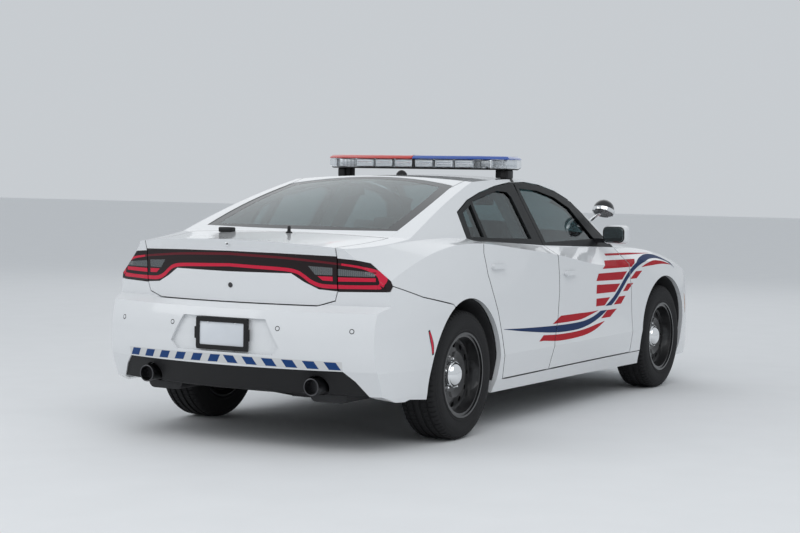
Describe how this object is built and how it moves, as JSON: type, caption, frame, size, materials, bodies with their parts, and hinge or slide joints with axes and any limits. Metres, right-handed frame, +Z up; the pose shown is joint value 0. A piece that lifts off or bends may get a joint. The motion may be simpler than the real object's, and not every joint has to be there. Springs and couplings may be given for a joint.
{
  "type": "patrol car",
  "caption": "Full-size patrol sedan in white with a roof light bar, pillar lamps and a striped livery; doors, hood, trunk, fuel flap, steering and wheels move.",
  "frame": {"origin": "on the ground, under the middle of the car's bounding box", "axes": "+X towards the front of the car, +Y to its left, +Z up"},
  "size_m": [5.0353, 2.084, 1.602],
  "materials": {
    "paint": "gloss white paint",
    "dark_metal": "dark cast metal",
    "steel": "bare steel",
    "black_plastic": "textured black plastic",
    "gloss_black": "gloss black plastic",
    "wheel_steel": "black painted steel",
    "tyre": "black rubber",
    "glass": "tinted glass",
    "lamp_red": "red and smoked lamp plastic",
    "lamp_clear": "clear lamp plastic",
    "bar_red": "red lens plastic",
    "bar_blue": "blue lens plastic",
    "trim": "dark grey interior plastic",
    "cloth": "dark seat cloth",
    "plate": "blank plate in a black frame"
  },
  "bodies": {
    "body": {"body_sides": "paint", "roof": "paint", "cabin_floor": "trim", "trunk_tub": "trim", "rear_deck": "black_plastic", "wheel_liners": "black_plastic", "front_fenders": "paint", "front_bumper": "paint", "grille": "black_plastic", "headlamps": "lamp_clear", "cowl": "black_plastic", "windshield": "glass", "rear_window": "glass", "rear_bumper": "paint", "rear_valance": "black_plastic", "tail_lamps": "lamp_red", "plate_frame": "plate", "exhaust": "steel", "engine_block": "dark_metal", "front_rails": "dark_metal", "front_suspension": "dark_metal", "rear_suspension": "dark_metal", "fuel_tank": "black_plastic", "seats": "cloth", "dashboard": "trim", "steering_wheel": "trim", "spotlights": "gloss_black", "light_bar_base": "black_plastic", "light_bar_lens": "lamp_clear", "light_bar_red": "bar_red", "light_bar_blue": "bar_blue"},
    "hood": {"hood": "paint"},
    "trunk": {"trunk_lid": "paint", "trunk_lamp": "lamp_red"},
    "fuel_flap": {"fuel_door": "paint"},
    "door_front_left": {"door_front_left": "paint", "glass_front_left": "glass", "mirror_left": "paint"},
    "door_rear_left": {"door_rear_left": "paint", "glass_rear_left": "glass"},
    "knuckle_left": {"knuckle_left": "dark_metal"},
    "wheel_front_left": {"tyre_front_left": "tyre", "rim_front_left": "wheel_steel"},
    "wheel_rear_left": {"tyre_rear_left": "tyre", "rim_rear_left": "wheel_steel"},
    "door_front_right": {"door_front_right": "paint", "glass_front_right": "glass", "mirror_right": "paint"},
    "door_rear_right": {"door_rear_right": "paint", "glass_rear_right": "glass"},
    "knuckle_right": {"knuckle_right": "dark_metal"},
    "wheel_front_right": {"tyre_front_right": "tyre", "rim_front_right": "wheel_steel"},
    "wheel_rear_right": {"tyre_rear_right": "tyre", "rim_rear_right": "wheel_steel"}
  },
  "joints": [
    {"name": "door_front_left_hinge", "type": "hinge", "parent": "body", "child": "door_front_left", "pos_m": [1.026, 0.902, 0.65], "axis": [0, 0, -1], "range_deg": [0, 66]},
    {"name": "door_rear_left_hinge", "type": "hinge", "parent": "body", "child": "door_rear_left", "pos_m": [-0.165, 0.902, 0.65], "axis": [0, 0, -1], "range_deg": [0, 66]},
    {"name": "steer_left", "type": "hinge", "parent": "body", "child": "knuckle_left", "pos_m": [1.57, 0.726, 0.363], "axis": [0, 0, 1], "range_deg": [-33, 33]},
    {"name": "wheel_front_left_spin", "type": "hinge", "parent": "knuckle_left", "child": "wheel_front_left", "pos_m": [1.57, 0.81, 0.363], "axis": [0, 1, 0], "continuous": true},
    {"name": "wheel_rear_left_spin", "type": "hinge", "parent": "body", "child": "wheel_rear_left", "pos_m": [-1.482, 0.81, 0.363], "axis": [0, 1, 0], "continuous": true},
    {"name": "door_front_right_hinge", "type": "hinge", "parent": "body", "child": "door_front_right", "pos_m": [1.026, -0.902, 0.65], "axis": [0, 0, 1], "range_deg": [0, 66]},
    {"name": "door_rear_right_hinge", "type": "hinge", "parent": "body", "child": "door_rear_right", "pos_m": [-0.165, -0.902, 0.65], "axis": [0, 0, 1], "range_deg": [0, 66]},
    {"name": "steer_right", "type": "hinge", "parent": "body", "child": "knuckle_right", "pos_m": [1.57, -0.726, 0.363], "axis": [0, 0, 1], "range_deg": [-33, 33]},
    {"name": "wheel_front_right_spin", "type": "hinge", "parent": "knuckle_right", "child": "wheel_front_right", "pos_m": [1.57, -0.81, 0.363], "axis": [0, 1, 0], "continuous": true},
    {"name": "wheel_rear_right_spin", "type": "hinge", "parent": "body", "child": "wheel_rear_right", "pos_m": [-1.482, -0.81, 0.363], "axis": [0, 1, 0], "continuous": true},
    {"name": "hood_hinge", "type": "hinge", "parent": "body", "child": "hood", "pos_m": [0.985, 0, 0.965], "axis": [0, -1, 0], "range_deg": [0, 52]},
    {"name": "trunk_hinge", "type": "hinge", "parent": "body", "child": "trunk", "pos_m": [-1.862, 0, 1.128], "axis": [0, 1, 0], "range_deg": [0, 72]},
    {"name": "fuel_flap_hinge", "type": "hinge", "parent": "body", "child": "fuel_flap", "pos_m": [-1.682, 0.9291, 0.887], "axis": [0, 0.1533, -0.9882], "range_deg": [0, 95]}
  ],
  "couplings": [
    {"joint": "steer_right", "follows": "steer_left", "ratio": 1}
  ]
}
